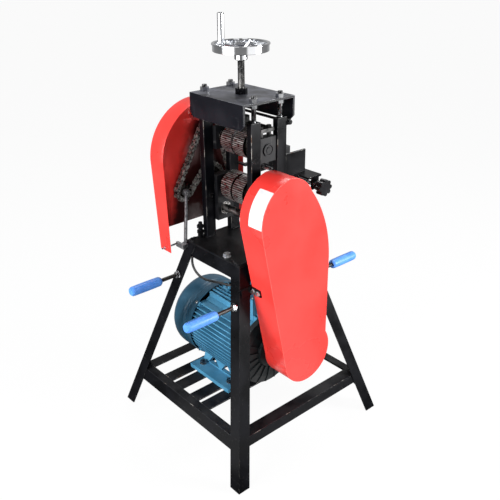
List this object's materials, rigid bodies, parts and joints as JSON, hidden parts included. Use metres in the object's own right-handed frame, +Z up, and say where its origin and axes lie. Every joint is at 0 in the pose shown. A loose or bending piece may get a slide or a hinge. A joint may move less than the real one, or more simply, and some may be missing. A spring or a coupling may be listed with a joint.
{
  "type": "cable stripping machine",
  "caption": "Motor-driven scrap cable stripper on a splayed stand, with a crank handwheel pressing its upper roller, red belt and chain guards and four carrying handles.",
  "frame": {"origin": "on the floor under the middle of the stand", "axes": "+Z up, +X towards the belt guard, -Y towards the feed side"},
  "size_m": [0.606, 0.686, 1.281],
  "materials": {
    "black_paint": "worn gloss",
    "red_paint": "semi gloss",
    "teal_paint": "semi gloss",
    "blue_rubber": "matt",
    "black_rubber": "matt",
    "cast_black": "oiled",
    "bare_steel": "machined",
    "zinc_steel": "zinc plated",
    "chrome": "polished",
    "hard_black": "satin"
  },
  "bodies": {
    "root": {"leg_front_left": "black_paint", "leg_front_right": "black_paint", "leg_rear_left": "black_paint", "leg_rear_right": "black_paint", "top_rails": "black_paint", "lower_rails": "black_paint", "motor_slats": "black_paint", "table_plate": "black_paint", "handle_rods": "zinc_steel", "handle_grips": "blue_rubber", "motor_housing": "teal_paint", "motor_end_shield": "teal_paint", "motor_fan_cowl": "teal_paint", "terminal_box": "teal_paint", "lifting_eye": "zinc_steel", "motor_foot_bolts": "zinc_steel", "motor_lead": "black_rubber", "belt_guard": "red_paint", "guard_brackets": "black_paint", "v_belts": "black_rubber", "chain_guard": "red_paint", "chain_guard_stay": "black_paint", "head_posts": "black_paint", "top_cover": "black_paint", "cover_studs": "zinc_steel", "cover_nuts": "zinc_steel", "lower_bearing_blocks": "cast_black", "lower_bearings": "bare_steel", "rear_tie_bar": "black_paint", "guide_side_plate": "black_paint", "guide_shelf": "black_paint", "frame_fasteners": "zinc_steel", "roller_chain": "bare_steel"},
    "lower_roller": {"lower_roller": "bare_steel", "lower_shaft": "bare_steel", "lower_gear": "bare_steel", "lower_sprocket": "bare_steel"},
    "countershaft": {"countershaft": "bare_steel", "pinion": "bare_steel", "big_pulley": "cast_black"},
    "motor_rotor": {"motor_shaft": "bare_steel", "motor_pulley": "cast_black", "motor_fan": "hard_black"},
    "upper_carriage": {"upper_bearing_blocks": "cast_black", "upper_bearings": "bare_steel", "pressure_beam": "bare_steel"},
    "upper_roller": {"upper_roller": "bare_steel", "cutting_disc": "bare_steel", "upper_shaft": "bare_steel", "upper_sprocket": "bare_steel"},
    "press_screw": {"press_screw": "zinc_steel", "handwheel": "chrome", "crank_bolt": "zinc_steel"},
    "crank_grip": {"crank_grip": "chrome"},
    "idler_arm": {"idler_arm": "black_paint"},
    "arm_sprocket": {"arm_sprocket": "bare_steel"},
    "rear_sprocket": {"rear_sprocket": "bare_steel"},
    "guide_block": {"guide_block": "zinc_steel"},
    "guide_screw": {"guide_screw": "zinc_steel", "star_knob": "hard_black"}
  },
  "joints": [
    {"name": "lower_roller_spin", "type": "hinge", "parent": "root", "child": "lower_roller", "pos_m": [0, -0.015, 0.787], "axis": [1, 0, 0], "continuous": true, "deforming": ["roller_chain"]},
    {"name": "countershaft_spin", "type": "hinge", "parent": "root", "child": "countershaft", "pos_m": [0, -0.015, 0.703], "axis": [1, 0, 0], "continuous": true},
    {"name": "motor_spin", "type": "hinge", "parent": "root", "child": "motor_rotor", "pos_m": [0, 0, 0.272], "axis": [1, 0, 0], "continuous": true},
    {"name": "carriage_slide", "type": "slide", "parent": "root", "child": "upper_carriage", "axis": [0, 0, 1], "range_m": [-0.0525, 0.01]},
    {"name": "press_screw_turn", "type": "hinge", "parent": "upper_carriage", "child": "press_screw", "pos_m": [0, -0.015, 1], "axis": [0, 0, 1], "range_deg": [-7560, 1440]},
    {"name": "upper_roller_spin", "type": "hinge", "parent": "upper_carriage", "child": "upper_roller", "pos_m": [0, -0.015, 0.929], "axis": [1, 0, 0], "continuous": true},
    {"name": "crank_grip_spin", "type": "hinge", "parent": "press_screw", "child": "crank_grip", "pos_m": [-0.027, -0.061, 1.24], "axis": [0, 0, 1], "continuous": true},
    {"name": "tensioner_swing", "type": "hinge", "parent": "root", "child": "idler_arm", "pos_m": [-0.139, -0.135, 0.59], "axis": [1, 0, 0], "range_deg": [-5, 15]},
    {"name": "arm_sprocket_spin", "type": "hinge", "parent": "idler_arm", "child": "arm_sprocket", "pos_m": [-0.152, -0.122, 0.76279], "axis": [1, 0, 0], "continuous": true},
    {"name": "rear_sprocket_spin", "type": "hinge", "parent": "root", "child": "rear_sprocket", "pos_m": [-0.152, 0.044, 0.735], "axis": [1, 0, 0], "continuous": true},
    {"name": "guide_slide", "type": "slide", "parent": "root", "child": "guide_block", "axis": [1, 0, 0], "range_m": [-0.035, 0.035]},
    {"name": "guide_screw_turn", "type": "hinge", "parent": "root", "child": "guide_screw", "pos_m": [0, 0.134, 0.803], "axis": [1, 0, 0], "range_deg": [-7200, 7200]}
  ],
  "couplings": [
    {"joint": "countershaft_spin", "follows": "lower_roller_spin", "ratio": -2.5},
    {"joint": "motor_spin", "follows": "lower_roller_spin", "ratio": -5.8333},
    {"joint": "upper_roller_spin", "follows": "lower_roller_spin", "ratio": -1.0833},
    {"joint": "arm_sprocket_spin", "follows": "lower_roller_spin", "ratio": -1.625},
    {"joint": "rear_sprocket_spin", "follows": "lower_roller_spin", "ratio": -1.625},
    {"joint": "carriage_slide", "follows": "press_screw_turn", "m_per_rad": 0.00039789},
    {"joint": "guide_slide", "follows": "guide_screw_turn", "m_per_rad": 0.00027852}
  ]
}
